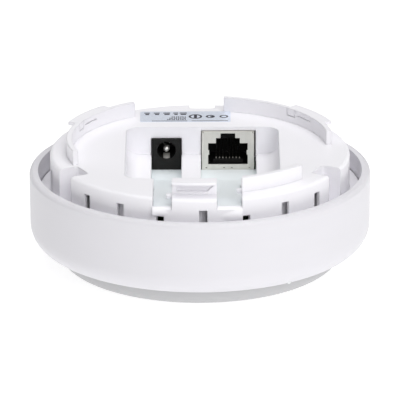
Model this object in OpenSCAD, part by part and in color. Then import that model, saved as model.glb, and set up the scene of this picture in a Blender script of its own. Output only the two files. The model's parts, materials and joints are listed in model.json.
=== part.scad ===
// Ceiling access point, lying on its front face.
// +Z points to the ceiling side, -Y is the side where the cables leave.
// The origin is the centre of the flat front face. All sizes are in millimetres.

/* [Cover] */
// Outer radius of the cover at its rim
cover_r = 51.5; // [51:0.1:53]
// Wall thickness of the cover
cover_wall = 2.55; // [2:0.05:3]
// Height of the cover's rim
rim_z = 29; // [27:0.5:30]
// How much smaller the cover gets from its rim to its shoulder
cover_draft = 0.1; // [0.1:0.1:0.6]

/* [Cap] */
// Outer radius of the cap at the seam
cap_r = 43.7; // [43.6:0.1:44]
// Radius of the flat part of the front face
cap_flat_r = 37.6; // [37:0.1:37.6]
// Height of the seam between cap and cover
seam_z = 6.1; // [5.9:0.1:6.2]

/* [Rear housing] */
// Outer radius of the rear housing
hub_r = 45.2; // [45:0.1:45.6]
// Wall thickness of the rear housing
hub_wall = 2; // [1.8:0.1:2.2]
// Height of the platform that faces the ceiling
platform_z = 34.6; // [34.4:0.1:35]
// Height of the top of the raised bayonet walls
top_z = 39.1; // [38.9:0.1:39.5]
// Number of vent pitches in a full turn of the side wall
vent_count = 22; // [20:1:24]
// Width of one vent
vent_w = 2.4; // [2:0.1:2.6]

/* [Recess] */
// Left wall of the port recess
recess_left = -22.5; // [-23:0.1:-22]
// Right wall of the port recess
recess_right = 24; // [23.5:0.1:24.5]
// Front wall of the port recess
recess_front = -25.7; // [-26:0.1:-25.5]
// Back wall of the port recess
recess_back = 22.8; // [22.6:0.1:23]
// Height of the recess floor
recess_z = 25.8; // [25.6:0.1:26]

/* [Ports] */
// Front plane of both ports
port_y = 22; // [21.8:0.1:22.2]
// Centre of the network socket
net_x = 8.6; // [8.4:0.1:8.8]
// Centre of the power jack
power_x = -10.2; // [-10.4:0.1:-10]
// Height of the power jack's centre pin
power_z = 27.3; // [27.1:0.1:27.5]
// Radius of the power jack's centre pin
power_pin_r = 1; // [0.8:0.05:1.1]

/* [Cable channels] */
// Centre of the channel in front of the power jack
power_channel_x = -11.15; // [-11.3:0.05:-11]
// Width of the channel in front of the power jack
power_channel_w = 5.4; // [5:0.1:5.6]
// Centre of the channel in front of the network socket
net_channel_x = 8.7; // [8.5:0.1:8.9]
// Width of the channel in front of the network socket
net_channel_w = 7.2; // [7:0.1:7.4]
// Height of the pocket floor under the plugs
pocket_z = 21.2; // [21.1:0.1:21.4]
// Slope of the channel floor in degrees
ramp_angle = 11; // [10.8:0.1:11.2]

/* [Reset button] */
// Position of the reset button along X
reset_x = -18; // [-18.5:0.5:-17.5]
// Position of the reset button along Y
reset_y = -12; // [-14:0.5:-11]
// Travel of the reset button
reset_travel = 0.4; // [0.3:0.05:0.45]

/* [Hidden] */

$fn = 96;
eps = 0.01;

// Cover: the shoulder arc joins the drafted wall to the seam
shoulder_z = 12.9;
seam_r = 46.2;
shelf_t = 2;
shelf_r = 36;
shelf_z = seam_z + shelf_t;
shoulder_drop = shoulder_z - seam_z;
shoulder_in = cover_r - cover_draft - seam_r;
shoulder_r = (shoulder_drop * shoulder_drop + shoulder_in * shoulder_in) / (2 * shoulder_in);
shoulder_x = cover_r - cover_draft - shoulder_r;
rim_round = 1.2;
cover_in_r = cover_r - cover_wall;

// Cap: the side arc is tangent to the flat face and ends at the seam
cap_wall = 2;
cap_z = seam_z - 0.2;
cap_run = cap_r - cap_flat_r;
cap_arc = (cap_run * cap_run + cap_z * cap_z) / (2 * cap_z);
clip_r = shelf_r - 0.4;
clip_t = 2;
clip_count = 6;

// Rear housing
hub_in_r = hub_r - hub_wall;
platform_t = 2;
ceiling_z = platform_z - platform_t;
recess_t = 2;
recess_corner = 4.5;
wall_in_r = 38.6;
wall_out_r = 40.2;
lip_r = 42.55;
lip_t = 1;
lip_spans = [[20, 46], [134, 160], [258, 277]];
wall_spans = [[8, 79], [121, 199], [258, 319]];
slot_angles = [33, 147, 268];
slot_depth = 1.1;
slot_bottom_z = 35.4;
slot_top_z = 37.7;
slit_spans = [[29.5, 39.5], [144.5, 154.5]];
slit_z = 37.3;
slit_h = 0.32;
groove_spans = [[41, 46.3], [156, 161]];
groove_z = 36.6;
// Angle and floor radius of each bayonet notch
notches = [[-26.7, 39], [89, 41], [206.7, 39]];
notch_w = 8;
brim_z = 23.2;
brim_t = 1.8;
brim_r = 48.35;
notch_z = brim_z + 0.4;
vent_bottom_z = brim_z + 0.6;
vent_pitch = 360 / vent_count;
vent_start = -137.9;
vent_top_z = 31.2;
vent_low_top_z = 29;
vent_web = 1.1;
baffle_span = [-60, -52.5];

// Screws, and the bosses that they go into
boss_r = 3;
pilot_r = 1.2;
shank_r = 1.15;
screw_head_r = 2.4;
screw_head_h = 1.5;
board_posts = [[30.5, 10], [-30.5, 10], [-22, -33], [17.5, -34]];
cover_boss_r = 3.4;
cover_boss_at = 38.5;
boss_lift = 0.2;
cover_boss_angles = [29, 149, 269];

// Circuit board
board_top = 19.8;
board_t = 1.6;
board_bottom = board_top - board_t;
board_r = 41.3;

// Network socket
net_w = 16;
net_top = 33.3;
net_depth = 15.5;
net_sheet = 0.3;
net_open_w = 12.1;
net_open_z = 22.8;
net_open_h = 6.8;
net_step_w = 7.3;
net_step_h = 1.65;
net_latch_w = 4.5;
net_latch_h = 1.5;
net_socket_depth = 12;

// Power jack
power_w = 8.9;
power_top = 30.9;
power_depth = 14;
power_bore_r = 2.85;
power_bore_depth = 10;

// Pockets, channels and the tray that lines them
tray_t = 0.8;
tray_gap = 0.1;
ramp_y = 12;
ramp_len = 72;
pocket_reach = 4.6;
pocket_front = 0;
tray_front = -0.6;
tray_top = recess_z - recess_t - 0.1;
power_nose_r = 1.6;
net_nose_r = 2.6;
nose_out = 0.45;
power_pocket = [power_x - pocket_reach, power_x + pocket_reach];
net_pocket = [net_x - 8.25, net_x + 8.6];
ramp_out_y = ramp_y - (recess_z - pocket_z) / tan(ramp_angle);

// Light pipe, from the board's lamp to the edge of the cover
pipe_angle = -57;
pipe_r = 0.8;
pipe_start = [38.2, 17];
pipe_tilt = 134.5;
pipe_len = 17;

// Reset button
button_r = 1.5;
button_fit = 0.05;
flange_r = 2.4;
flange_h = 0.8;
switch_h = 2.2;

// A box from one corner to the opposite one
module box(low, high) {
    translate(low)
        cube(high - low);
}

// A part of a ring: from radius r0 to r1, height z0 to z1 and angle a0 to a1
module ring_part(r0, r1, z0, z1, a0, a1) {
    rotate_extrude(angle = a1 - a0, start = a0)
        translate([r0, z0])
            square([r1 - r0, z1 - z0]);
}

// A rectangle with true round corners
module round_rect(x0, y0, x1, y1, r) {
    translate([x0 + r, y0])
        square([x1 - x0 - 2 * r, y1 - y0]);
    translate([x0, y0 + r])
        square([x1 - x0, y1 - y0 - 2 * r]);
    for (x = [x0 + r, x1 - r], y = [y0 + r, y1 - r])
        translate([x, y])
            circle(r);
}

// Height of the pocket and channel floor
function floor_z(y) = pocket_z + (ramp_y - y) * tan(ramp_angle);

// Centre line of a rounded sill of radius r, at the end of the channel at x
function sill_y(x, r) = r - nose_out - sqrt(hub_r * hub_r - x * x);

// A bar along a cable channel's sloping floor, from bottom to top across the slope
module ramp_bar(x, w, bottom, top) {
    translate([x, ramp_y, pocket_z])
        rotate([90 - ramp_angle, 0, 0])
            translate([-w / 2, bottom, -2])
                cube([w, top - bottom, ramp_len]);
}

module at_angle(a, r) {
    rotate([0, 0, a])
        translate([r, 0, 0])
            children();
}

module screw(z_under_head, length) {
    translate([0, 0, z_under_head - screw_head_h])
        difference() {
            cylinder(r = screw_head_r, h = screw_head_h);
            translate([-0.35, -1.4, -eps])
                cube([0.7, 2.8, 0.9]);
            translate([-1.4, -0.35, -eps])
                cube([2.8, 0.7, 0.9]);
        }
    translate([0, 0, z_under_head - eps])
        cylinder(r = shank_r, h = length);
}

// ---- casing ----

// Half section of the cover as if it were solid
module cover_outline() {
    difference() {
        union() {
            polygon([[0, shoulder_z], [cover_r - cover_draft, shoulder_z], [cover_r, rim_z], [0, rim_z]]);
            translate([0, seam_z])
                square([shoulder_x, shoulder_drop + eps]);
            intersection() {
                translate([shoulder_x, shoulder_z])
                    circle(shoulder_r);
                translate([shoulder_x - eps, seam_z])
                    square([shoulder_r + 1, shoulder_drop + eps]);
            }
        }
        difference() {
            translate([cover_r - rim_round, rim_z - rim_round])
                square(rim_round + 1);
            translate([cover_r - rim_round, rim_z - rim_round])
                circle(rim_round);
        }
    }
}

module outer_cover() color("white")
    difference() {
        rotate_extrude()
            difference() {
                cover_outline();
                translate([0, shelf_z])
                    square([hub_r + 1, rim_z]);
                translate([0, shoulder_z - 2.5])
                    square([cover_in_r - 0.7, rim_z]);
                polygon([[0, shoulder_z], [cover_in_r - 0.7, shoulder_z], [cover_in_r, rim_z + 1], [0, rim_z + 1]]);
                translate([0, seam_z - 1])
                    square([shelf_r, rim_z]);
            }
        for (a = cover_boss_angles)
            at_angle(a, cover_boss_at)
                translate([0, 0, seam_z - 1])
                    cylinder(r = pilot_r + 0.2, h = shelf_t + 2);
        light_path(pipe_r + button_fit);
    }

// Straight hole or rod from the lamp towards the cover's lower edge
module light_path(r) {
    at_angle(pipe_angle, pipe_start[0])
        translate([0, 0, pipe_start[1]])
            rotate([0, pipe_tilt, 0])
                cylinder(r = r, h = pipe_len);
}

module cap_outline(inset) {
    r = cap_arc - inset;
    translate([0, inset])
        square([cap_flat_r, cap_z - inset]);
    intersection() {
        translate([cap_flat_r, cap_arc])
            circle(r);
        translate([cap_flat_r - eps, 0])
            square([cap_arc + 1, cap_z]);
    }
}

module front_cap() color("gainsboro") {
    rotate_extrude()
        difference() {
            cap_outline(0);
            translate([0, eps])
                cap_outline(cap_wall);
            translate([0, cap_z - 0.5])
                square([cap_r - cap_wall - 0.5, 1]);
        }
    for (k = [0 : clip_count - 1]) {
        a = k * 360 / clip_count;
        ring_part(clip_r - clip_t, clip_r, cap_wall - 0.2, shelf_z + 1, a, a + 24);
        ring_part(clip_r - clip_t, shelf_r + 0.5, shelf_z + 0.05, shelf_z + 1, a, a + 24);
    }
}

module raised_walls() {
    for (s = wall_spans)
        ring_part(wall_in_r, wall_out_r, platform_z - eps, top_z, s[0], s[1]);
    for (s = lip_spans)
        ring_part(wall_in_r, lip_r, top_z - lip_t, top_z, s[0], s[1]);
}

// Pockets in the outside of the walls under the lips, each with one sloping end
module lip_slots() {
    for (a = slot_angles)
        at_angle(a, wall_out_r - slot_depth)
            rotate([90, 0, 90])
                linear_extrude(slot_depth + 2)
                    polygon([
                        [-5.4, slot_bottom_z], [3.4, slot_bottom_z],
                        [5.9, slot_top_z], [-5.8, slot_top_z]
                    ]);
}

// Fine slits into two of those pockets, and a shallow groove beside each, on the inside of the walls
module wall_slits() {
    for (s = slit_spans)
        ring_part(wall_in_r - 0.5, wall_out_r - slot_depth + 0.4, slit_z, slit_z + slit_h, s[0], s[1]);
    for (s = groove_spans)
        difference() {
            ring_part(wall_in_r - 0.5, wall_in_r + 0.35, groove_z, top_z + 1, s[0], s[1]);
            ring_part(wall_in_r - 1, wall_in_r + 1, groove_z + 0.3, top_z + 2, s[0] + 0.45, s[1] - 0.45);
        }
}

module hub_shell() {
    rotate_extrude()
        difference() {
            union() {
                translate([0, shelf_z])
                    square([hub_r, platform_z - shelf_z - 1]);
                translate([0, platform_z - 1 - eps])
                    square([hub_r - 1, 1 + eps]);
                translate([hub_r - 1, platform_z - 1])
                    circle(1);
                translate([hub_in_r, brim_z - brim_t])
                    square([brim_r - hub_in_r, brim_t]);
            }
            translate([0, shelf_z - 1])
                square([hub_in_r, ceiling_z - shelf_z + 1]);
        }
}

module recess_block(grow, z0, z1) {
    translate([0, 0, z0])
        linear_extrude(z1 - z0)
            round_rect(recess_left - grow, recess_front - grow, recess_right + grow, recess_back + grow,
                       recess_corner + grow);
}

// The recess itself, with round lower edges along its left and right walls
module recess_space() {
    intersection() {
        recess_block(0, recess_z - 1, top_z);
        translate([0, recess_back + 1, 0])
            rotate([90, 0, 0])
                linear_extrude(recess_back - recess_front + 2)
                    round_rect(recess_left + 0.05, recess_z, recess_right - 0.05, top_z + 9, recess_corner);
    }
}

// Closed blocks behind the bayonet notches, which reach down to just over the brim
module notch_blocks() {
    for (n = notches)
        at_angle(n[0], 0)
            box([n[1] - hub_wall, -notch_w / 2 - hub_wall, notch_z - hub_wall],
                [hub_in_r + 0.5, notch_w / 2 + hub_wall, platform_z - 1]);
}

module notch_cuts() {
    for (n = notches)
        at_angle(n[0], 0)
            translate([0, 0, notch_z])
                linear_extrude(top_z)
                    round_rect(n[1], -notch_w / 2, n[1] + 12, notch_w / 2, 1.2);
}

function near_notch(a) = min([for (n = notches) abs((a - n[0] + 540) % 360 - 180)]) < 9.5;
function under_channel(k) = k == 2 || k == 4;

module vents() {
    for (k = [0 : vent_count - 1]) {
        a = vent_start + k * vent_pitch;
        top = under_channel(k) ? vent_low_top_z : vent_top_z;
        if (!near_notch(a))
            rotate([0, 0, a]) {
                box([hub_in_r - 0.2, -vent_w / 2, vent_bottom_z], [hub_r + 1, vent_w / 2, top]);
                // thinner wall round the opening
                if (!under_channel(k))
                    box([hub_in_r - 0.3, -vent_w / 2 - 0.7, vent_bottom_z - 0.3],
                        [hub_r - vent_web, vent_w / 2 + 0.7, top + 0.5]);
            }
    }
}

// Baffle behind the vent beside the network lead
module vent_baffle() {
    ring_part(41.2, 42, vent_bottom_z + 0.35, ceiling_z + eps, baffle_span[0], baffle_span[1]);
}

module bosses() {
    for (p = board_posts)
        translate([p[0], p[1], board_top])
            cylinder(r = boss_r, h = ceiling_z - board_top + eps);
    for (a = cover_boss_angles)
        at_angle(a, cover_boss_at)
            translate([0, 0, shelf_z + boss_lift])
                cylinder(r = cover_boss_r, h = ceiling_z - shelf_z - boss_lift + eps);
}

module boss_holes() {
    for (p = board_posts)
        translate([p[0], p[1], board_top - 1])
            cylinder(r = pilot_r, h = 10);
    for (a = cover_boss_angles)
        at_angle(a, cover_boss_at)
            translate([0, 0, shelf_z - 1])
                cylinder(r = pilot_r, h = 10);
}

// Trough of one cable channel under the platform, and its rib over the recess floor
module channel_trough(x, w) {
    intersection() {
        ramp_bar(x, w + 2.4, -1.9, 9);
        box([x - w, -44, 24], [x + w, recess_front, ceiling_z + 0.5]);
        cylinder(r = hub_in_r + 0.5, h = 50);
    }
    intersection() {
        ramp_bar(x, w, -4.5, -tray_t - tray_gap);
        box([x - w, recess_front - eps, recess_z - eps], [x + w, ramp_out_y, 32]);
    }
}

// Space that one channel and its tray take out of the housing
module channel_cut(x, w) {
    ramp_bar(x, w + 2 * tray_gap, -tray_t - tray_gap, 22);
}

module pocket_cut(span) {
    box([span[0], pocket_front, 18], [span[1], port_y, recess_z + 1]);
}

// Rounded sills over which the leads leave the channels
module channel_sill(x, w, r, bottom) {
    y = sill_y(x, r);
    intersection() {
        translate([x - w / 2 - 0.3, y, floor_z(y) - r])
            rotate([0, 90, 0])
                cylinder(r = r, h = w + 0.6);
        box([x - w, -hub_r - 2, bottom], [x + w, y + 0.07, 40]);
    }
}

module channel_sills() {
    channel_sill(power_channel_x, power_channel_w, power_nose_r, vent_low_top_z + 0.15);
    channel_sill(net_channel_x, net_channel_w, net_nose_r, 27);
}

// Small nubs that keep a lead down in its channel
module lead_nubs() {
    for (n = [[power_channel_x + power_channel_w / 2, -38.4], [net_channel_x + net_channel_w / 2, -34.2]])
        translate([n[0] - 1.5, n[1], platform_z - 1])
            rotate([0, 90, 0])
                cylinder(r = 0.8, h = 2.7);
}

module rear_housing() color("white") {
    difference() {
        union() {
            difference() {
                union() {
                    hub_shell();
                    recess_block(recess_t, recess_z - recess_t, ceiling_z + eps);
                    notch_blocks();
                    raised_walls();
                    bosses();
                    vent_baffle();
                }
                recess_space();
            }
            channel_trough(power_channel_x, power_channel_w);
            channel_trough(net_channel_x, net_channel_w);
        }
        channel_cut(power_channel_x, power_channel_w);
        channel_cut(net_channel_x, net_channel_w);
        pocket_cut(power_pocket);
        pocket_cut(net_pocket);
        // openings for the two ports, and room for the taller one under the platform
        box([power_x - power_w / 2 - 0.2, port_y - 1, 18],
            [power_x + power_w / 2 + 0.2, recess_back + recess_t + 1, power_top + 0.15]);
        box([net_x - net_w / 2 - 0.2, port_y - 1, 18],
            [net_x + net_w / 2 + 0.5, port_y + net_depth + 0.5, net_top + 0.15]);
        notch_cuts();
        vents();
        lip_slots();
        wall_slits();
        boss_holes();
        light_path(pipe_r + button_fit);
        translate([reset_x, reset_y, recess_z - recess_t - 1])
            cylinder(r = button_r + button_fit, h = recess_t + 2);
    }
    lead_nubs();
    channel_sills();
}

// From x0 to x1, y0 to y1, and from the pocket floor less drop up to top
module pocket_body(x0, x1, y0, y1, drop, top) {
    translate([x0, 0, 0])
        rotate([90, 0, 90])
            linear_extrude(x1 - x0)
                polygon([
                    [y1, pocket_z - drop], [ramp_y, pocket_z - drop],
                    [y0, floor_z(y0) - drop], [y0, top], [y1, top]
                ]);
}

// One lined channel: a pocket under the plug, and a sloping floor out to the sill
module tray_channel(x, w, span, nose) {
    difference() {
        pocket_body(span[0] - tray_t, span[1] + tray_t, tray_front, port_y - 0.1, tray_t + 0.05, tray_top);
        pocket_body(span[0], span[1], tray_front - 1, port_y + 1, 0.05, 40);
    }
    intersection() {
        ramp_bar(x, w, -tray_t, 0);
        box([x - w, sill_y(x, nose) + 0.2, pocket_z], [x + w, tray_front + 1, 50]);
    }
}

module cable_tray() color("azure") {
    tray_channel(power_channel_x, power_channel_w, power_pocket, power_nose_r);
    tray_channel(net_channel_x, net_channel_w, net_pocket, net_nose_r);
    box([power_pocket[1] + tray_t - eps, 14, pocket_z - tray_t], [net_pocket[0] - tray_t + eps, 20, pocket_z + 0.4]);
}

module rating_label() color("lightsteelblue")
    translate([0, 0, platform_z])
        linear_extrude(0.12)
            round_rect(-18.3, 27.6, 9.5, 37.7, 0.8);

// ---- network socket ----

// Stepped outline of the plug opening, seen from the front
module plug_opening(grow) {
    translate([-net_open_w / 2 - grow, net_open_z - grow])
        square([net_open_w + 2 * grow, net_open_h + 2 * grow]);
    translate([-net_step_w / 2 - grow, net_open_z])
        square([net_step_w + 2 * grow, net_open_h + net_step_h + grow]);
    translate([-net_latch_w / 2 - grow, net_open_z])
        square([net_latch_w + 2 * grow, net_open_h + net_step_h + net_latch_h + grow]);
}

module plug_space(depth, grow) {
    translate([net_x, port_y + depth, 0])
        rotate([90, 0, 0])
            linear_extrude(depth + 1)
                plug_opening(grow);
}

module rj45_shield() color("silver") {
    w = net_w / 2;
    difference() {
        box([net_x - w, port_y, board_top], [net_x + w, port_y + net_depth, net_top]);
        box([net_x - w + net_sheet, port_y + net_sheet, board_top - 1],
            [net_x + w - net_sheet, port_y + net_depth - net_sheet, net_top - net_sheet]);
        plug_space(2, 0);
        // seams at the folded top corners and punched marks under the opening
        for (x = [net_x - w - eps, net_x + w - 0.5])
            box([x, port_y - 1, net_top - 0.45], [x + 0.51, port_y + 0.6, net_top + 1]);
        for (x = [-6.6, -1.2, 1.2, 6.6])
            box([net_x + x - 0.25, port_y - 1, pocket_z + 0.35], [net_x + x + 0.25, port_y + 1, pocket_z + 0.6]);
    }
    // spring fingers that touch the sides of a plug
    for (s = [-1, 1])
        translate([net_x + s * net_open_w / 2, port_y + net_sheet / 2, net_open_z + 3.8])
            cube([0.6, net_sheet, 1.4], center = true);
}

module rj45_housing() color("black")
    difference() {
        box([net_x - net_w / 2 + net_sheet, port_y + net_sheet, board_top],
            [net_x + net_w / 2 - net_sheet, port_y + net_depth - net_sheet, net_top - net_sheet]);
        difference() {
            plug_space(net_socket_depth, 0);
            // comb that holds the front ends of the contacts
            box([net_x - 4.6, port_y + 2.4, net_open_z - 1], [net_x + 4.6, port_y + 4, net_open_z + 0.9]);
        }
    }

module rj45_contacts() color("gold")
    for (k = [0 : 7])
        translate([net_x + (k - 3.5) * 1.02 - 0.15, port_y + 3.2, net_open_z])
            rotate([90, 0, 90])
                linear_extrude(0.3)
                    polygon([[0, 0.9], [0.35, 0.9], [0.6, 1.15], [8.8, 4.2], [8.8, 4.5], [0.3, 1.4], [0, 1.2]]);

// ---- power jack ----

module along_jack(y, r, h) {
    translate([power_x, y, power_z])
        rotate([-90, 0, 0])
            cylinder(r = r, h = h);
}

module power_jack_housing() color("dimgray")
    difference() {
        box([power_x - power_w / 2, port_y, board_top], [power_x + power_w / 2, port_y + power_depth, power_top]);
        along_jack(port_y - 1, power_bore_r, power_bore_depth + 1);
        along_jack(port_y, power_pin_r + 0.5, power_depth - 1);
        box([power_x - 1.1, port_y + 1, power_z - 4.4], [power_x + 1.1, port_y + power_bore_depth, power_z]);
    }

module power_jack_pin() color("silver") {
    tip = port_y + 1.2;
    along_jack(tip + power_pin_r, power_pin_r, power_bore_depth - 2.2);
    translate([power_x, tip + power_pin_r, power_z])
        sphere(power_pin_r);
    along_jack(port_y + power_bore_depth - 0.1, power_pin_r + 0.5, 2.9);
}

// Leaf that presses on the outside of a plug's barrel
module power_jack_spring() color("silver")
    translate([power_x - 1, port_y + 1.5, power_z])
        rotate([90, 0, 90])
            linear_extrude(2)
                polygon([[0, -4.2], [8, -4.2], [8, -3.9], [3.2, -2.2], [2.4, -2.2], [0.6, -3.9], [0, -3.9]]);

// ---- circuit board and what is on it ----

module main_board() color("seagreen")
    difference() {
        translate([0, 0, board_bottom])
            cylinder(r = board_r, h = board_t);
        for (a = cover_boss_angles)
            at_angle(a, cover_boss_at)
                translate([0, 0, board_bottom - 1])
                    cylinder(r = cover_boss_r + 0.8, h = board_t + 2);
        for (p = board_posts)
            translate([p[0], p[1], board_bottom - 1])
                cylinder(r = pilot_r + 0.2, h = board_t + 2);
    }

// A chip on the board's lower side
module chip(x, y, w, d, h) {
    box([x - w / 2, y - d / 2, board_bottom - h], [x + w / 2, y + d / 2, board_bottom]);
}

cpu_y = 6;
cpu_h = 1.4;
pad_h = 0.8;
sink_w = 26;
sink_base = 1.5;
fin_h = 4.5;
fin_count = 7;

module processor() color("black")
    chip(0, cpu_y, 14, 14, cpu_h);

module memory_chip() color("black")
    chip(22, 2, 8, 13, 1.1);

module flash_chip() color("black")
    chip(-21, -4, 5.2, 6, 1.6);

module crystal() color("silver")
    chip(-18, 5, 3.2, 2.5, 0.8);

module regulator_chip() color("black")
    chip(-20, 22, 5, 4, 1.5);

module thermal_pad() color("lightpink")
    translate([0, 0, -cpu_h])
        chip(0, cpu_y, 14, 14, pad_h);

module heat_sink() color("silver") {
    top = board_bottom - cpu_h - pad_h;
    pitch = (sink_w - 1.2) / (fin_count - 1);
    box([-sink_w / 2, cpu_y - sink_w / 2, top - sink_base], [sink_w / 2, cpu_y + sink_w / 2, top]);
    for (k = [0 : fin_count - 1])
        translate([-sink_w / 2 + k * pitch, cpu_y - sink_w / 2, top - sink_base - fin_h])
            cube([1.2, sink_w, fin_h + eps]);
}

module radio_shield() color("silver")
    difference() {
        chip(0, -21, 26, 17, 2.6);
        translate([0, 0, eps])
            chip(0, -21, 25.4, 16.4, 2.3);
        for (x = [-9 : 6 : 9], y = [-24, -18])
            translate([x, y, board_bottom - 3])
                cylinder(r = 0.8, h = 1);
    }

module ethernet_transformer() color("black")
    box([28, -11, board_top], [35, 5, board_top + 4.4]);

module power_inductor() color("dimgray")
    box([-28, 22, board_top], [-22, 28, board_top + 4]);

module bulk_capacitors() color("slateblue")
    for (y = [-10.5, -1.5])
        translate([-31, y, board_top])
            cylinder(r = 4, h = 11);

// Bent sheet-metal antenna on two legs, standing along the board's edge
module antenna() {
    drop = 7;
    sheet = 0.5;
    translate([0, 0, board_bottom - drop])
        box([-4.5, -13, 0], [0, 13, sheet]);
    for (leg = [[-13, 2.2], [-6.5, 1.4]])
        translate([-sheet, leg[0], board_bottom - drop])
            cube([sheet, leg[1], drop]);
}

module left_antenna() color("silver")
    translate([-36, -4, 0])
        mirror([1, 0, 0])
            antenna();

module right_antenna() color("silver")
    translate([36, -4, 0])
        antenna();

module status_led() color("white")
    at_angle(pipe_angle, pipe_start[0] - 0.6)
        chip(0, 0, 1.6, 1.6, 0.7);

module light_pipe() color("white")
    intersection() {
        light_path(pipe_r);
        rotate_extrude()
            cover_outline();
    }

module reset_switch() color("silver")
    difference() {
        box([reset_x - 3, reset_y - 3, board_top], [reset_x + 3, reset_y + 3, board_top + switch_h]);
        translate([reset_x, reset_y, board_top + 0.6])
            cylinder(r = button_r - 0.3 + button_fit, h = switch_h);
    }

module reset_switch_plunger() color("black")
    translate([reset_x, reset_y, board_top + 0.6 + reset_travel + 0.1])
        cylinder(r = button_r - 0.3, h = recess_z - recess_t - 0.1 - flange_h - board_top - 0.7 - reset_travel);

module reset_button() color("gray") {
    under_floor = recess_z - recess_t - 0.1;
    translate([reset_x, reset_y, 0]) {
        translate([0, 0, under_floor - flange_h])
            cylinder(r = flange_r, h = flange_h);
        translate([0, 0, under_floor - eps])
            cylinder(r = button_r, h = recess_t - 0.5);
    }
}

// ---- screws ----

module board_screws() color("silver")
    for (p = board_posts)
        translate([p[0], p[1], 0])
            screw(board_bottom, 9);

module cover_screws() color("silver")
    for (a = cover_boss_angles)
        at_angle(a, cover_boss_at)
            screw(seam_z, 9.5);

outer_cover();
front_cap();
rear_housing();
cable_tray();
rating_label();
rj45_shield();
rj45_housing();
rj45_contacts();
power_jack_housing();
power_jack_pin();
power_jack_spring();
main_board();
processor();
memory_chip();
flash_chip();
crystal();
regulator_chip();
thermal_pad();
heat_sink();
radio_shield();
ethernet_transformer();
power_inductor();
bulk_capacitors();
left_antenna();
right_antenna();
status_led();
light_pipe();
reset_switch();
reset_switch_plunger();
reset_button();
board_screws();
cover_screws();
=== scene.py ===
"""Ceiling access point lying on its front face: looks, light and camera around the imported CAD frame."""

import json
import math

import bmesh
import bpy
from mathutils import Matrix, Vector


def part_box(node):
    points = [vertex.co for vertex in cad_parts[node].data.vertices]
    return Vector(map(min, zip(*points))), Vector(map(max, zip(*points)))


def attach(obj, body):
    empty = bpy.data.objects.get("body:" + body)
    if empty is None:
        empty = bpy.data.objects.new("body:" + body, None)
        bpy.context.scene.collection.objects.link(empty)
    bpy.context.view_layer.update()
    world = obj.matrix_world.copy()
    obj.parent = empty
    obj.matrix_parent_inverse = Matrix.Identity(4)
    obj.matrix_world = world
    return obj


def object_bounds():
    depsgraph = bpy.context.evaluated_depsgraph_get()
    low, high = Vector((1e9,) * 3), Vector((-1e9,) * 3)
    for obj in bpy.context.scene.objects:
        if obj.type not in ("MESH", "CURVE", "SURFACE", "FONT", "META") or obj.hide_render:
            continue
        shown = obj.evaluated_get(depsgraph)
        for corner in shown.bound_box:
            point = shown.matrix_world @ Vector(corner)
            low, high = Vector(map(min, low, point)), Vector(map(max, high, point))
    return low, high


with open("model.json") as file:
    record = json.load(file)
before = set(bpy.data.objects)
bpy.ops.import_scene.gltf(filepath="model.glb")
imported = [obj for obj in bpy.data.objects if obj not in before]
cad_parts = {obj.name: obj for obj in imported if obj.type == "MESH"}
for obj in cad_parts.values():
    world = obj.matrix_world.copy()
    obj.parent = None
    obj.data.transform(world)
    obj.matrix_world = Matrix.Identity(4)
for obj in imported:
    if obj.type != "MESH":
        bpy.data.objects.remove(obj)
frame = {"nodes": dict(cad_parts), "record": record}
cad_box = [list(v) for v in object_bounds()]
nodes = frame["nodes"]
scene = bpy.context.scene
MM = 0.001


# ---------- node helpers ----------

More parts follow.
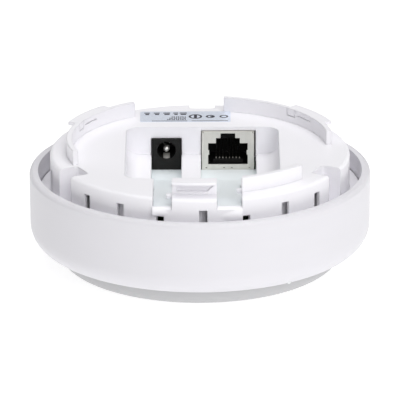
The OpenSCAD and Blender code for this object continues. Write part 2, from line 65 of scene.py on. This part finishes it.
class Shader:
    """A node tree with one Principled BSDF, and short calls for the nodes that feed it."""

    def __init__(self, name, **fixed):
        self.mat = bpy.data.materials.new(name)
        self.mat.use_nodes = True
        self.tree = self.mat.node_tree
        self.tree.nodes.clear()
        self.out = self.tree.nodes.new("ShaderNodeOutputMaterial")
        self.bsdf = self.tree.nodes.new("ShaderNodeBsdfPrincipled")
        self.link(self.bsdf.outputs[0], self.out.inputs[0])
        self.coords = self.tree.nodes.new("ShaderNodeTexCoord").outputs["Object"]
        for key, value in fixed.items():
            self.bsdf.inputs[key.replace("_", " ")].default_value = value

    def node(self, kind, **props):
        n = self.tree.nodes.new(kind)
        for key, value in props.items():
            setattr(n, key, value)
        return n

    def link(self, a, b):
        self.tree.links.new(a, b)

    def put(self, socket, value):
        if hasattr(value, "is_output"):
            self.link(value, socket)
        else:
            socket.default_value = value

    def stretched(self, x, y, z):
        n = self.node("ShaderNodeMapping")
        self.link(self.coords, n.inputs[0])
        n.inputs["Scale"].default_value = (x, y, z)
        return n.outputs[0]

    def noise(self, scale, detail=2.0, rough=0.5, at=None):
        n = self.node("ShaderNodeTexNoise")
        self.link(at or self.coords, n.inputs["Vector"])
        n.inputs["Scale"].default_value = scale
        n.inputs["Detail"].default_value = detail
        n.inputs["Roughness"].default_value = rough
        return n.outputs["Fac"]

    def cells(self, scale, feature="F1", at=None, randomness=1.0):
        n = self.node("ShaderNodeTexVoronoi", feature=feature)
        self.link(at or self.coords, n.inputs["Vector"])
        n.inputs["Scale"].default_value = scale
        n.inputs["Randomness"].default_value = randomness
        return n.outputs["Distance"]

    def span(self, value, a, b, c, d):
        """The value's range a to b mapped onto c to d, and held there."""
        n = self.node("ShaderNodeMapRange", clamp=True)
        self.put(n.inputs["Value"], value)
        for i, v in zip(("From Min", "From Max", "To Min", "To Max"), (a, b, c, d)):
            n.inputs[i].default_value = v
        return n.outputs[0]

    def math(self, op, a, b=0.0):
        n = self.node("ShaderNodeMath", operation=op)
        self.put(n.inputs[0], a)
        self.put(n.inputs[1], b)
        return n.outputs[0]

    def mix(self, fac, a, b):
        n = self.node("ShaderNodeMix", data_type="RGBA")
        self.put(n.inputs["Factor"], fac)
        self.put(n.inputs[6], a)
        self.put(n.inputs[7], b)
        return n.outputs[2]

    def axis(self, which):
        n = self.node("ShaderNodeSeparateXYZ")
        self.link(self.coords, n.inputs[0])
        return n.outputs[which]

    def rounded(self, radius):
        """(normal of softly rounded edges, mask that is 1 on those edges)"""
        bevel = self.node("ShaderNodeBevel", samples=6)
        bevel.inputs["Radius"].default_value = radius
        flat = self.node("ShaderNodeNewGeometry").outputs["Normal"]
        dot = self.node("ShaderNodeVectorMath", operation="DOT_PRODUCT")
        self.link(bevel.outputs[0], dot.inputs[0])
        self.link(flat, dot.inputs[1])
        return bevel.outputs[0], self.span(dot.outputs["Value"], 0.995, 0.8, 0.0, 1.0)

    def bump(self, height, distance, normal=None):
        n = self.node("ShaderNodeBump")
        n.inputs["Strength"].default_value = 1.0
        n.inputs["Distance"].default_value = distance
        self.link(height, n.inputs["Height"])
        if normal is not None:
            self.link(normal, n.inputs["Normal"])
        return n.outputs[0]

    def set(self, name, value):
        self.put(self.bsdf.inputs[name], value)


def tint(colour, k):
    return tuple(min(1.0, c * k) for c in colour[:3]) + (1.0,)


def moulded(name, colour, rough=0.42, edge=0.35, grain=0.006, wear=1.03, **fixed):
    """Moulded plastic: fine spark texture, faint flow marks, and softened, slightly rubbed edges."""
    s = Shader(name, **fixed)
    colour = tuple(colour) + (1.0,)
    normal, rubbed = s.rounded(edge * MM)
    broad = s.noise(38, 3, 0.55)
    flow = s.noise(1, 2, 0.5, at=s.stretched(30, 30, 260))
    grain_fine = s.noise(5200, 2, 0.6)
    shade = s.span(s.math("ADD", broad, s.math("MULTIPLY", flow, 0.5)), 0.45, 1.05, 0.0, 1.0)
    body = s.mix(shade, tint(colour, 0.985), tint(colour, 1.01))
    s.set("Base Color", s.mix(s.math("MULTIPLY", rubbed, 0.5), body, tint(colour, wear)))
    r = s.math("ADD", s.span(broad, 0.3, 0.7, rough - 0.03, rough + 0.04),
               s.span(grain_fine, 0.3, 0.7, -0.03, 0.03))
    s.set("Roughness", s.math("SUBTRACT", r, s.math("MULTIPLY", rubbed, 0.06)))
    s.set("Normal", s.bump(grain_fine, grain * MM, normal))
    return s.mat


def metal(name, colour, rough=0.3, edge=0.1, stretch=(900, 900, 60), **fixed):
    """Sheet or drawn metal: rolling lines, faint stains, brighter edges."""
    s = Shader(name, **{"Metallic": 1.0, **fixed})
    colour = tuple(colour) + (1.0,)
    normal, rubbed = s.rounded(edge * MM)
    lines = s.noise(1, 3, 0.6, at=s.stretched(*stretch))
    stain = s.noise(220, 3, 0.6)
    base = s.mix(s.span(stain, 0.35, 0.7, 0.0, 1.0), tint(colour, 0.9), colour)
    base = s.mix(s.math("MULTIPLY", s.span(lines, 0.4, 0.75, 0.0, 1.0), 0.25), base, tint(colour, 0.82))
    s.set("Base Color", s.mix(rubbed, base, tint(colour, 1.08)))
    r = s.math("ADD", s.span(lines, 0.3, 0.7, rough - 0.06, rough + 0.1),
               s.span(stain, 0.3, 0.7, -0.03, 0.05))
    s.set("Roughness", r)
    s.set("Normal", s.bump(lines, 0.004 * MM, normal))
    return s.mat


def resin(name, colour, rough=0.5, edge=0.12):
    """Moulded epoxy, ferrite or ceramic: fine specks and a matt skin."""
    s = Shader(name)
    colour = tuple(colour) + (1.0,)
    normal, rubbed = s.rounded(edge * MM)
    specks = s.cells(7000)
    cloud = s.noise(420, 3, 0.6)
    base = s.mix(s.span(specks, 0.0, 0.4, 0.5, 0.0), tint(colour, 0.9), tint(colour, 1.6))
    base = s.mix(s.span(cloud, 0.35, 0.7, 0.0, 0.35), base, tint(colour, 1.25))
    s.set("Base Color", s.mix(s.math("MULTIPLY", rubbed, 0.6), base, tint(colour, 2.2)))
    s.set("Roughness", s.span(cloud, 0.3, 0.7, rough - 0.06, rough + 0.08))
    s.set("Normal", s.bump(specks, 0.008 * MM, normal))
    return s.mat


def laminate(name):
    """Solder mask over copper: tracks, pads and vias show as darker, raised areas."""
    s = Shader(name, Coat_Weight=0.35, Coat_Roughness=0.2)
    grid = s.cells(230, "DISTANCE_TO_EDGE", at=s.stretched(1, 1, 0.02), randomness=0.85)
    tracks = s.span(grid, 0.02, 0.045, 1.0, 0.0)
    fine = s.cells(640, "DISTANCE_TO_EDGE", at=s.stretched(1, 0.45, 0.02), randomness=0.6)
    tracks = s.math("MAXIMUM", tracks, s.span(fine, 0.03, 0.06, 0.7, 0.0))
    via = s.span(s.cells(420, at=s.stretched(1, 1, 0.02)), 0.07, 0.1, 1.0, 0.0)
    weave = s.noise(1500, 2, 0.5)
    board = s.mix(s.span(weave, 0.35, 0.65, 0.0, 1.0), (0.012, 0.085, 0.035, 1), (0.018, 0.115, 0.05, 1))
    base = s.mix(tracks, board, (0.035, 0.2, 0.08, 1))
    base = s.mix(via, base, (0.5, 0.47, 0.4, 1))
    s.set("Base Color", base)
    s.set("Roughness", s.span(weave, 0.3, 0.7, 0.32, 0.46))
    s.set("Normal", s.bump(s.math("ADD", tracks, via), 0.02 * MM))
    return s.mat


def film(name, colour):
    """Silvery polyester label: faint grain and a few shallow ripples."""
    s = Shader(name, Metallic=0.35)
    colour = tuple(colour) + (1.0,)
    grain = s.noise(2600, 2, 0.6, at=s.stretched(1, 0.25, 1))
    ripple = s.noise(170, 2, 0.5)
    s.set("Base Color", s.mix(s.span(grain, 0.3, 0.7, 0.0, 1.0), tint(colour, 0.93), tint(colour, 1.05)))
    s.set("Roughness", s.span(grain, 0.3, 0.7, 0.3, 0.42))
    s.set("Normal", s.bump(ripple, 0.05 * MM))
    return s.mat


def clear(name, colour):
    """Milky moulded part that passes a little light, with a faint haze."""
    s = Shader(name, Transmission_Weight=0.08, IOR=1.49)
    haze = s.noise(900, 2, 0.5)
    s.set("Base Color", s.mix(s.span(haze, 0.3, 0.7, 0.0, 1.0), tint(colour + (1,), 0.96), colour + (1,)))
    s.set("Roughness", s.span(haze, 0.3, 0.7, 0.12, 0.24))
    s.set("Normal", s.bump(haze, 0.004 * MM))
    return s.mat


def plated_with_painted_shade(name, colour, painted_shade_start, painted_shade_full):
    """Plated wire with faint random tarnish, darkened with painted shade to near black behind its front tip.
    """
    s = Shader(name, Metallic=0.85)
    colour = tuple(colour) + (1.0,)
    wear = s.noise(2400, 2, 0.6)
    # painted shade: behind the front tip, along Y, the colour falls to 5% of itself, standing in for shade
    # deep in the socket
    shade = s.mix(s.span(s.axis("Y"), painted_shade_start, painted_shade_full, 0.0, 1.0), colour, tint(colour, 0.05))
    s.set("Base Color", s.mix(s.span(wear, 0.35, 0.7, 0.0, 0.3), shade, tint(colour, 0.6)))
    s.set("Roughness", s.span(wear, 0.3, 0.7, 0.3, 0.45))
    s.set("Normal", s.bump(wear, 0.004 * MM))
    return s.mat


def ink(name, colour):
    """Printed ink: slightly uneven cover."""
    s = Shader(name)
    cover = s.noise(4200, 2, 0.6)
    s.set("Base Color", s.mix(s.span(cover, 0.3, 0.7, 0.0, 1.0), colour + (1,), tint(colour, 1.5)))
    s.set("Roughness", s.span(cover, 0.3, 0.7, 0.4, 0.6))
    s.set("Normal", s.bump(cover, 0.003 * MM))
    return s.mat


contact_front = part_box("rj45_contacts")[0].y

MATERIALS = {
    "white_plastic": moulded("white_plastic", (0.735, 0.725, 0.76), rough=0.4, edge=0.3),
    "housing_plastic": moulded("housing_plastic", (0.915, 0.905, 0.94), rough=0.44, edge=0.5),
    # the cap's darker grey is partly its own colour and partly painted shade for the downward-facing dome
    "cap_plastic": moulded("cap_plastic", (0.52, 0.52, 0.53), rough=0.5, edge=0.3),
    "tray_plastic": moulded("tray_plastic", (0.90, 0.95, 0.97), rough=0.34, edge=0.25),
    "button_plastic": moulded("button_plastic", (0.72, 0.72, 0.74), rough=0.46, edge=0.15),
    "black_plastic": moulded("black_plastic", (0.007, 0.007, 0.0065), rough=0.5, edge=0.12, wear=1.6,
                             Specular_IOR_Level=0.22),
    "capacitor_sleeve": moulded("capacitor_sleeve", (0.02, 0.03, 0.09), rough=0.3, edge=0.4, wear=1.3),
    "pad_silicone": moulded("pad_silicone", (0.45, 0.33, 0.36), rough=0.7, edge=0.2, grain=0.02),
    "led_resin": moulded("led_resin", (0.75, 0.74, 0.6), rough=0.3, edge=0.1),
    "label_film": film("label_film", (0.80, 0.85, 0.96)),
    "socket_steel": metal("socket_steel", (0.74, 0.73, 0.68), rough=0.46, edge=0.12, Metallic=0.55),
    "can_steel": metal("can_steel", (0.62, 0.62, 0.6), rough=0.36, edge=0.15),
    "screw_steel": metal("screw_steel", (0.5, 0.5, 0.5), rough=0.3, stretch=(300, 300, 1800)),
    "contact_nickel": metal("contact_nickel", (0.86, 0.84, 0.8), rough=0.34, edge=0.08, Metallic=0.8),
    # the contacts get painted shade from 0.1 mm behind their front tips, and are fully dark by 0.4 mm
    "contact_gold": plated_with_painted_shade("contact_gold", (0.62, 0.6, 0.55),
                           contact_front + 0.1 * MM, contact_front + 0.4 * MM),
    "sink_aluminium": metal("sink_aluminium", (0.6, 0.61, 0.62), rough=0.38, stretch=(80, 1200, 1200)),
    "chip_resin": resin("chip_resin", (0.018, 0.018, 0.019), rough=0.55),
    "ferrite": resin("ferrite", (0.045, 0.045, 0.048), rough=0.62),
    "board_laminate": laminate("board_laminate"),
    "clear_plastic": clear("clear_plastic", (0.9, 0.92, 0.93)),
}
PRINT_INK = ink("print_ink", (0.022, 0.022, 0.035))
SILK_INK = ink("silk_ink", (0.5, 0.5, 0.48))
CERAMIC = resin("ceramic", (0.22, 0.13, 0.075), rough=0.45, edge=0.08)
SOLDER = metal("solder", (0.7, 0.7, 0.7), rough=0.25, edge=0.05, stretch=(700, 700, 700))

SLOT_OF = {}
for row in frame["record"]["materials"]:
    for n in row.get("nodes", []):
        SLOT_OF[n] = row["slot"]
for name, o in nodes.items():
    slot = SLOT_OF.get(name) or (o.material_slots[0].material.name if o.material_slots else "white_plastic")
    slot = slot.split(".")[0]
    for m in o.material_slots:
        m.material = MATERIALS[slot]


# ---------- mesh helpers ----------

def piece(name, bm, material, smooth=True):
    """A finished piece that rides on the fixed body."""
    mesh = bpy.data.meshes.new(name)
    bmesh.ops.recalc_face_normals(bm, faces=bm.faces)
    bm.to_mesh(mesh)
    bm.free()
    for p in mesh.polygons:
        p.use_smooth = smooth
    mesh.materials.append(material)
    o = bpy.data.objects.new(name, mesh)
    scene.collection.objects.link(o)
    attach(o, "unit")


def block(bm, low, high, turn=0.0, round_off=0.0):
    """A box from one corner to the opposite one, turned about its own centre, with chamfered edges."""
    low, high = Vector(low), Vector(high)
    made = bmesh.ops.create_cube(bm, size=1.0)["verts"]
    size = high - low
    place = (Matrix.Translation((low + high) / 2) @ Matrix.Rotation(turn, 4, "Z")
             @ Matrix.Diagonal((*size, 1.0)))
    bmesh.ops.transform(bm, matrix=place, verts=made)
    if round_off:
        edges = {e for v in made for e in v.link_edges}
        bmesh.ops.bevel(bm, geom=list(edges), offset=round_off, segments=2, profile=0.6, affect="EDGES")


# ---------- label print: plain bars, no lettering ----------

low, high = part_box("rating_label")
bm = bmesh.new()
w, d = high.x - low.x, high.y - low.y
top = high.z + 0.004 * MM


def mark(u0, v0, u1, v1):
    """A flat printed patch, in shares of the label's width and depth."""
    block(bm, (low.x + u0 * w, low.y + v0 * d, top - 0.003 * MM),
          (low.x + u1 * w, low.y + v1 * d, top + 0.006 * MM))


def ring(u, v, r_out, r_in):
    """A flat printed ring, centred in shares of the label's width and depth."""
    n = 28
    loops = []
    for r in (r_out, r_in):
        for z in (top + 0.006 * MM, top - 0.003 * MM):
            loops.append([bm.verts.new((low.x + u * w + r * math.cos(2 * math.pi * k / n),
                                        low.y + v * d + r * math.sin(2 * math.pi * k / n), z))
                          for k in range(n)])
    for a, b in ((0, 1), (1, 3), (3, 2), (2, 0)):
        for k in range(n):
            j = (k + 1) % n
            bm.faces.new((loops[a][k], loops[a][j], loops[b][j], loops[b][k]))


ring(0.611, 0.50, 2.1 * MM, 1.45 * MM)
mark(0.595, 0.36, 0.628, 0.64)
ring(0.775, 0.50, 1.4 * MM, 0.75 * MM)
mark(0.775, 0.46, 0.81, 0.54)
ring(0.925, 0.50, 1.35 * MM, 0.8 * MM)
mark(0.13, 0.06, 0.52, 0.10)
mark(0.57, 0.06, 0.97, 0.10)
for row in range(3):
    for k in range(9 - row):
        u = 0.505 - 0.024 * k
        mark(u - 0.014 - 0.004 * ((k * 5 + row) % 2), 0.18 + 0.12 * row, u, 0.26 + 0.12 * row)
for u0, u1 in ((0.045, 0.105), (0.15, 0.215), (0.255, 0.33), (0.365, 0.42), (0.435, 0.515)):
    mark(u0, 0.80, u1, 0.88)
    mark(u0 + 0.012, 0.66, u1 - 0.006, 0.76)
piece("label_print", bm, PRINT_INK, smooth=False)


# ---------- small parts on the circuit board ----------

board_low, board_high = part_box("main_board")
board_r = board_high.x
PARTS_ABOVE = ["rj45_shield", "power_jack_housing", "ethernet_transformer", "power_inductor",
               "reset_switch", "bulk_capacitors"]
PARTS_BELOW = ["processor", "heat_sink", "radio_shield", "memory_chip", "flash_chip", "crystal",
               "regulator_chip", "left_antenna", "right_antenna", "status_led"]
POSTS = [tuple(v * MM for v in p) for p in ((30.5, 10), (-30.5, 10), (-22, -33), (17.5, -34))]
BOSS_AT = 38.5 * MM
BOSSES = [(BOSS_AT * math.cos(a), BOSS_AT * math.sin(a)) for a in map(math.radians, (29, 149, 269))]
EDGE_CLEAR, POST_CLEAR, BOSS_CLEAR = 2.2 * MM, 5 * MM, 6.5 * MM


def free_spot(x, y, parts, gap):
    """True where a small part fits on the board, clear of the larger parts and the posts."""
    if math.hypot(x, y) > board_r - EDGE_CLEAR:
        return False
    if any(math.hypot(x - px, y - py) < POST_CLEAR for px, py in POSTS):
        return False
    if any(math.hypot(x - px, y - py) < BOSS_CLEAR for px, py in BOSSES):
        return False
    for name in parts:
        a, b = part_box(name)
        if a.x - gap < x < b.x + gap and a.y - gap < y < b.y + gap:
            return False
    return True


def hashed(i, j, k):
    """A fixed number from 0 to 1 for each grid place."""
    v = math.sin(i * 12.9898 + j * 78.233 + k * 37.719) * 43758.5453
    return v - math.floor(v)


# small chips and passives on a loose grid on both sides of the board
GRID_STEP, GRID_JITTER, GRID_REACH, GRID_FILL = 3.4, 1.1, 11, 0.3
bodies, ends = bmesh.new(), bmesh.new()
for side, parts in ((1, PARTS_ABOVE), (-1, PARTS_BELOW)):
    face = board_high.z if side > 0 else board_low.z
    for i in range(-GRID_REACH, GRID_REACH + 1):
        for j in range(-GRID_REACH, GRID_REACH + 1):
            if hashed(i, j, side) > GRID_FILL:
                continue
            x = (i * GRID_STEP + GRID_JITTER * hashed(i, j, 5)) * MM
            y = (j * GRID_STEP + GRID_JITTER * hashed(i, j, 7)) * MM
            if not free_spot(x, y, parts, 1.3 * MM):
                continue
            long_x = hashed(i, j, 9) > 0.5
            half, wide, tall = 0.55 * MM, 0.4 * MM, (0.35 + 0.35 * hashed(i, j, 11)) * MM
            z = sorted((face - side * 0.01 * MM, face + side * tall))
            dx, dy = (half, wide) if long_x else (wide, half)
            block(bodies, (x - dx, y - dy, z[0]), (x + dx, y + dy, z[1]), round_off=0.04 * MM)
            for s in (-1, 1):
                cx, cy = (x + s * half, y) if long_x else (x, y + s * half)
                ex, ey = (0.2 * MM, wide + 0.03 * MM) if long_x else (wide + 0.03 * MM, 0.2 * MM)
                ez = sorted((face - side * 0.01 * MM, face + side * (tall + 0.03 * MM)))
                block(ends, (cx - ex, cy - ey, ez[0]), (cx + ex, cy + ey, ez[1]), round_off=0.05 * MM)
piece("smd_bodies", bodies, CERAMIC)
piece("smd_ends", ends, SOLDER)


def gull_lead(bm, x, y, along, away, face, side, height, width):
    """A bent lead from a chip's flank down to the board. away is +1 or -1 along the axis named by along."""
    reach = 1.0 * MM
    t = 0.13 * MM
    h = height * 0.45
    profile = [(-0.1 * MM, h), (0.3 * reach, h), (0.5 * reach, t), (reach, t), (reach, 0.0),
               (0.42 * reach, 0.0), (0.22 * reach, h - t), (-0.1 * MM, h - t)]
    rows = []
    for w in (-width / 2, width / 2):
        row = []
        for u, v in profile:
            px, py = (x + away * u, y + w) if along == "x" else (x + w, y + away * u)
            row.append(bm.verts.new((px, py, face + side * (v + 0.005 * MM))))
        rows.append(row)
    n = len(profile)
    for k in range(n):
        bm.faces.new((rows[0][k], rows[0][(k + 1) % n], rows[1][(k + 1) % n], rows[1][k]))
    # the two ends are strips, since the outline is bent
    for row in rows:
        for a, b, c, d in ((0, 1, 6, 7), (1, 2, 5, 6), (2, 3, 4, 5)):
            bm.faces.new((row[a], row[b], row[c], row[d]))


leads = bmesh.new()
for name, along, count in (("flash_chip", "x", 4), ("regulator_chip", "x", 4), ("memory_chip", "y", 12),
                           ("ethernet_transformer", "x", 8)):
    low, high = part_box(name)
    above = low.z > board_low.z
    face, side = (board_high.z, 1) if above else (board_low.z, -1)
    for k in range(count):
        share = (k + 0.5) / count
        for away in (-1, 1):
            if along == "x":
                gull_lead(leads, high.x if away > 0 else low.x, low.y + share * (high.y - low.y), "x", away,
                          face, side, high.z - low.z, width=0.45 * MM)
            else:
                gull_lead(leads, low.x + share * (high.x - low.x), high.y if away > 0 else low.y, "y", away,
                          face, side, high.z - low.z, width=0.3 * MM)
piece("chip_leads", leads, SOLDER, smooth=False)


def disc(bm, x, y, z0, z1, r, r_top=None, n=20):
    """A short round pad from z0 to z1, drawn in to r_top at z1 and slightly dished."""
    r_top = r if r_top is None else r_top
    loops = [[bm.verts.new((x + q * math.cos(2 * math.pi * k / n), y + q * math.sin(2 * math.pi * k / n), z))
              for k in range(n)] for q, z in ((r, z0), (r_top, z1), (r_top * 0.6, z0 + (z1 - z0) * 0.9))]
    bm.faces.new(loops[0])
    for a, b in ((0, 1), (1, 2)):
        for k in range(n):
            bm.faces.new((loops[a][k], loops[a][(k + 1) % n], loops[b][(k + 1) % n], loops[b][k]))
    bm.faces.new(loops[2])


# soldered pins of the network socket, the power jack and the large capacitors, under the board
joints = bmesh.new()
low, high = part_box("rj45_shield")
mid = (low.x + high.x) / 2
for k in range(8):
    disc(joints, mid + (k - 3.5) * 1.27 * MM, high.y - (4.2 if k % 2 else 6.7) * MM,
         board_low.z + 0.01 * MM, board_low.z - 0.7 * MM, 0.75 * MM, 0.3 * MM)
for x in (low.x + 0.3 * MM, high.x - 0.3 * MM):
    disc(joints, x, low.y + 6 * MM, board_low.z + 0.01 * MM, board_low.z - 0.8 * MM, 1.2 * MM, 0.5 * MM)
low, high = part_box("power_jack_housing")
for x, y in (((low.x + high.x) / 2, high.y - 1.5 * MM), ((low.x + high.x) / 2, high.y - 6.5 * MM),
             (low.x + 1.0 * MM, high.y - 4.0 * MM)):
    disc(joints, x, y, board_low.z + 0.01 * MM, board_low.z - 0.8 * MM, 1.3 * MM, 0.5 * MM)
low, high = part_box("bulk_capacitors")
cap_r = (high.x - low.x) / 2
CAPS = [((low.x + high.x) / 2, low.y + cap_r), ((low.x + high.x) / 2, high.y - cap_r)]
for x, y in CAPS:
    for s in (-1, 1):
        disc(joints, x, y + s * 1.75 * MM, board_low.z + 0.01 * MM, board_low.z - 0.6 * MM,
             0.9 * MM, 0.35 * MM)
piece("solder_joints", joints, SOLDER)

# scored aluminium tops of the large capacitors, and the pale stripe down each sleeve
tops, stripes = bmesh.new(), bmesh.new()
for x, y in CAPS:
    disc(tops, x, y, high.z - 0.02 * MM, high.z + 0.12 * MM, cap_r - 0.35 * MM, cap_r - 0.6 * MM, 36)
    for turn in (0.4, 0.4 + math.pi / 2):
        block(tops, (x - 2.4 * MM, y - 0.14 * MM, high.z + 0.1 * MM),
              (x + 2.4 * MM, y + 0.14 * MM, high.z + 0.2 * MM), turn, 0.03 * MM)
    n = 6
    rows = []
    inner, outer = cap_r - 0.05 * MM, cap_r + 0.03 * MM
    foot, head = low.z + 0.5 * MM, high.z - 0.5 * MM
    for r, z in ((inner, foot), (outer, foot), (outer, head), (inner, head)):
        rows.append([stripes.verts.new((x + r * math.cos(a), y + r * math.sin(a), z))
                     for a in (math.pi + 0.35 * (2 * k / n - 1) for k in range(n + 1))])
    for a, b in ((0, 1), (1, 2), (2, 3), (3, 0)):
        for k in range(n):
            stripes.faces.new((rows[a][k], rows[a][k + 1], rows[b][k + 1], rows[b][k]))
    for k in (0, n):
        stripes.faces.new([row[k] for row in rows])
piece("capacitor_tops", tops, MATERIALS["sink_aluminium"], smooth=False)
piece("capacitor_stripes", stripes, SILK_INK)

# printed outlines round the larger parts, and rows of round test pads
silk, pads = bmesh.new(), bmesh.new()
for side, parts in ((1, PARTS_ABOVE), (-1, PARTS_BELOW)):
    face = board_high.z if side > 0 else board_low.z
    z0, z1 = sorted((face - side * 0.01 * MM, face + side * 0.02 * MM))
    for name in parts:
        if name in ("heat_sink", "left_antenna", "right_antenna", "bulk_capacitors"):
            continue
        a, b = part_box(name)
        g, w = 0.55 * MM, 0.09 * MM
        if name == "rj45_shield":
            b = Vector((b.x, b.y - g, b.z))
        for u0, v0, u1, v1 in ((a.x - g, a.y - g, b.x + g, a.y - g), (a.x - g, b.y + g, b.x + g, b.y + g),
                               (a.x - g, a.y - g, a.x - g, b.y + g), (b.x + g, a.y - g, b.x + g, b.y + g)):
            block(silk, (u0 - w, v0 - w, z0), (u1 + w, v1 + w, z1))
        if name not in ("rj45_shield", "power_jack_housing"):
            disc(silk, a.x - 1.1 * MM, a.y - 1.1 * MM, face, face + side * 0.02 * MM, 0.25 * MM, n=12)
    for k in range(14):
        a = math.radians(195 + 150 * k / 13) if side < 0 else math.radians(120 + 70 * k / 13)
        x, y = (board_r - 3.4 * MM) * math.cos(a), (board_r - 3.4 * MM) * math.sin(a)
        if free_spot(x, y, parts, 1.6 * MM):
            disc(pads, x, y, face - side * 0.01 * MM, face + side * 0.03 * MM, 0.6 * MM, 0.57 * MM, 16)
piece("board_print", silk, SILK_INK, smooth=False)
piece("test_pads", pads, MATERIALS["sink_aluminium"])


def tube(bm, path, r, n=10):
    """A round wire along a path of points."""
    loops = []
    for k, p in enumerate(path):
        ahead = (path[min(k + 1, len(path) - 1)] - path[max(k - 1, 0)]).normalized()
        side = ahead.cross(Vector((0, 0, 1))).normalized()
        up = side.cross(ahead)
        turns = [2 * math.pi * j / n for j in range(n)]
        loops.append([bm.verts.new(p + r * (math.cos(t) * side + math.sin(t) * up)) for t in turns])
    for a, b in zip(loops, loops[1:]):
        for j in range(n):
            bm.faces.new((a[j], a[(j + 1) % n], b[(j + 1) % n], b[j]))
    bm.faces.new(loops[0])
    bm.faces.new(loops[-1])


# thin coaxial leads from the antennas to the radio's shield
cables, plugs = bmesh.new(), bmesh.new()
for s in (-1, 1):
    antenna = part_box("right_antenna" if s > 0 else "left_antenna")
    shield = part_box("radio_shield")
    inner_side = abs(antenna[0].x if s > 0 else antenna[1].x)
    lead_z = board_low.z - 0.75 * MM
    start = Vector((s * (inner_side - 0.2 * MM), -11.5 * MM, lead_z))
    end = Vector((s * (shield[1].x + 0.9 * MM), -18 * MM, lead_z))
    path = []
    for k in range(25):
        t = k / 24
        p = start.lerp(end, t)
        p.y += -3.2 * MM * math.sin(math.pi * t) + 0.7 * MM * math.sin(3 * math.pi * t)
        p.z -= 0.25 * MM * math.sin(math.pi * t)
        path.append(p)
    tube(cables, path, 0.55 * MM)
    for p in (start, end):
        disc(plugs, p.x, p.y, board_low.z + 0.01 * MM, board_low.z - 1.5 * MM, 1.05 * MM, 0.95 * MM, 18)
piece("antenna_cables", cables, MATERIALS["black_plastic"])
piece("cable_plugs", plugs, SOLDER)

# small domed lens on the light pipe's outer end, with its rim sunk into the pipe
LENS_R, LENS_H, LENS_SUNK = 0.6 * MM, 0.6 * MM, 0.1 * MM
LENS_SIDES = 24
lens = bmesh.new()
pipe = nodes["light_pipe"]
pipe_points = [pipe.matrix_world @ v.co for v in pipe.data.vertices]
pipe_low, pipe_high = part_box("light_pipe")
pipe_end = [p for p in pipe_points if p.z < (pipe_low.z + pipe_high.z) / 2]
centre = sum(pipe_end, Vector()) / len(pipe_end)
across = Vector((-centre.y, centre.x, 0)).normalized()
along = (min(pipe_end, key=lambda p: p.z) - centre).normalized()
outward = across.cross(along).normalized()
if outward.z > 0:
    outward.negate()
domes = []
for k in range(7):
    turn = math.radians(80) * k / 6
    r, h = LENS_R * math.cos(turn), LENS_H * math.sin(turn) - LENS_SUNK
    turns = [2 * math.pi * j / LENS_SIDES for j in range(LENS_SIDES)]
    domes.append([lens.verts.new(centre + outward * h + r * (math.cos(t) * across + math.sin(t) * along))
                  for t in turns])
lens.faces.new(domes[0])
lens.faces.new(domes[-1])
for a, b in zip(domes, domes[1:]):
    for j in range(LENS_SIDES):
        lens.faces.new((a[j], a[(j + 1) % LENS_SIDES], b[(j + 1) % LENS_SIDES], b[j]))
piece("light_lens", lens, MATERIALS["clear_plastic"])


# ---------- camera, light and floor ----------

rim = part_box("outer_cover")[1].z
CAMERA_LENS = 479.6
CAMERA_BACK, CAMERA_ABOVE_RIM = 1.5237, 0.5205
CAMERA_TILT, CAMERA_ROLL = math.radians(70.80), math.radians(-0.19)
camera_data = bpy.data.cameras.new("camera")
camera_data.lens = CAMERA_LENS
camera_data.sensor_width = 36.0
camera_data.clip_end = 100.0
camera = bpy.data.objects.new("camera", camera_data)
camera.matrix_world = (Matrix.Translation((0.0, -CAMERA_BACK, CAMERA_ABOVE_RIM + rim))
                       @ Matrix.Rotation(CAMERA_TILT, 4, "X")
                       @ Matrix.Rotation(CAMERA_ROLL, 4, "Z"))
scene.collection.objects.link(camera)
scene.camera = camera

# a pale room that is darker on the left
world = bpy.data.worlds.new("studio")
world.use_nodes = True
tree = world.node_tree
sky = tree.nodes["Background"]
direction = tree.nodes.new("ShaderNodeSeparateXYZ")
tree.links.new(tree.nodes.new("ShaderNodeTexCoord").outputs["Generated"], direction.inputs[0])
level = tree.nodes.new("ShaderNodeMapRange")
for key, value in (("From Min", -1.0), ("From Max", 1.0), ("To Min", 0.27), ("To Max", 0.5)):
    level.inputs[key].default_value = value
tree.links.new(direction.outputs["X"], level.inputs["Value"])
tree.links.new(level.outputs[0], sky.inputs["Strength"])
sky.inputs["Color"].default_value = (1.0, 1.0, 1.0, 1.0)
scene.world = world


def softbox(name, at, aim, size, power):
    data = bpy.data.lights.new(name, "AREA")
    data.shape = "RECTANGLE"
    data.size, data.size_y = size
    data.energy = power
    o = bpy.data.objects.new(name, data)
    o.location = at
    o.rotation_euler = (Vector(aim) - Vector(at)).to_track_quat("-Z", "Y").to_euler()
    scene.collection.objects.link(o)


softbox("key", (1.0, -1.3, 1.5), (0, 0, 0.02), (1.2, 1.2), 8.5)
softbox("overhead", (0.0, 0.2, 1.95), (0, 0, 0), (1.6, 1.6), 18)
softbox("front", (0.45, -1.9, 1.1), (0, 0, 0.02), (1.6, 1.0), 12.5)

bm = bmesh.new()
bmesh.ops.create_grid(bm, x_segments=1, y_segments=1, size=4.0)
mesh = bpy.data.meshes.new("floor")
bm.to_mesh(mesh)
bm.free()
paper = Shader("floor_paper", Roughness=0.9)
fibre = paper.span(paper.noise(6, 2), 0.3, 0.7, 0.0, 1.0)
paper.set("Base Color", paper.mix(fibre, (0.50, 0.50, 0.50, 1), (0.52, 0.52, 0.52, 1)))
paper.bsdf.inputs["Emission Color"].default_value = (1.0, 1.0, 1.0, 1.0)
paper.bsdf.inputs["Emission Strength"].default_value = 0.72
paper.bsdf.inputs["Specular IOR Level"].default_value = 0.1
mesh.materials.append(paper.mat)
floor = bpy.data.objects.new("floor", mesh)
floor.location = (0, 0, cad_box[0][2] - 0.02 * MM)
scene.collection.objects.link(floor)

scene.view_settings.view_transform = "Standard"
scene.view_settings.look = "None"
